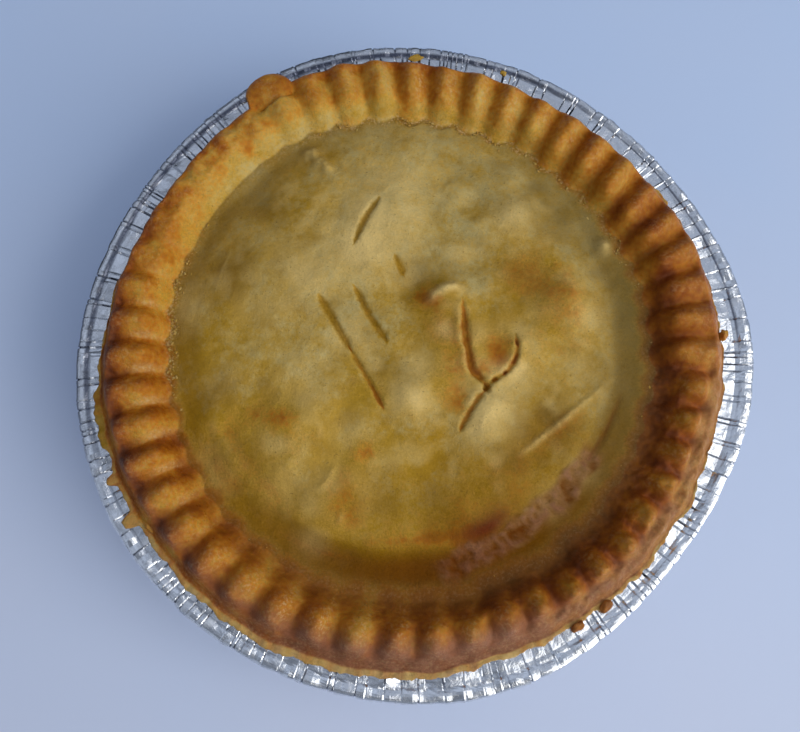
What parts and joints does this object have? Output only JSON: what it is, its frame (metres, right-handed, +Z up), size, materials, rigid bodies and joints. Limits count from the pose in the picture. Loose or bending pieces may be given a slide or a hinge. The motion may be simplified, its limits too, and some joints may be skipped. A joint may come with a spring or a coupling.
{
  "type": "butter pie",
  "caption": "Round baked butter pie with a crimped golden rim and a slit, gently domed lid, standing in its wrinkled foil tin.",
  "frame": {"origin": "centre of the tin's flat underside", "axes": "+Z up, out of the pie's lid; +X and +Y in the plane of the underside, with the forked vent towards +X"},
  "size_m": [0.1262, 0.1265, 0.0346],
  "materials": {
    "foil": "thin bright aluminium foil, wrinkled and pleated, with a rolled edge",
    "pastry": "baked shortcrust pastry, golden brown on the crimps and pale yellow-tan on the lid, with a slight sheen of fat"
  },
  "bodies": {
    "root": {"foil_tin": "foil", "pie": "pastry"}
  },
  "joints": []
}
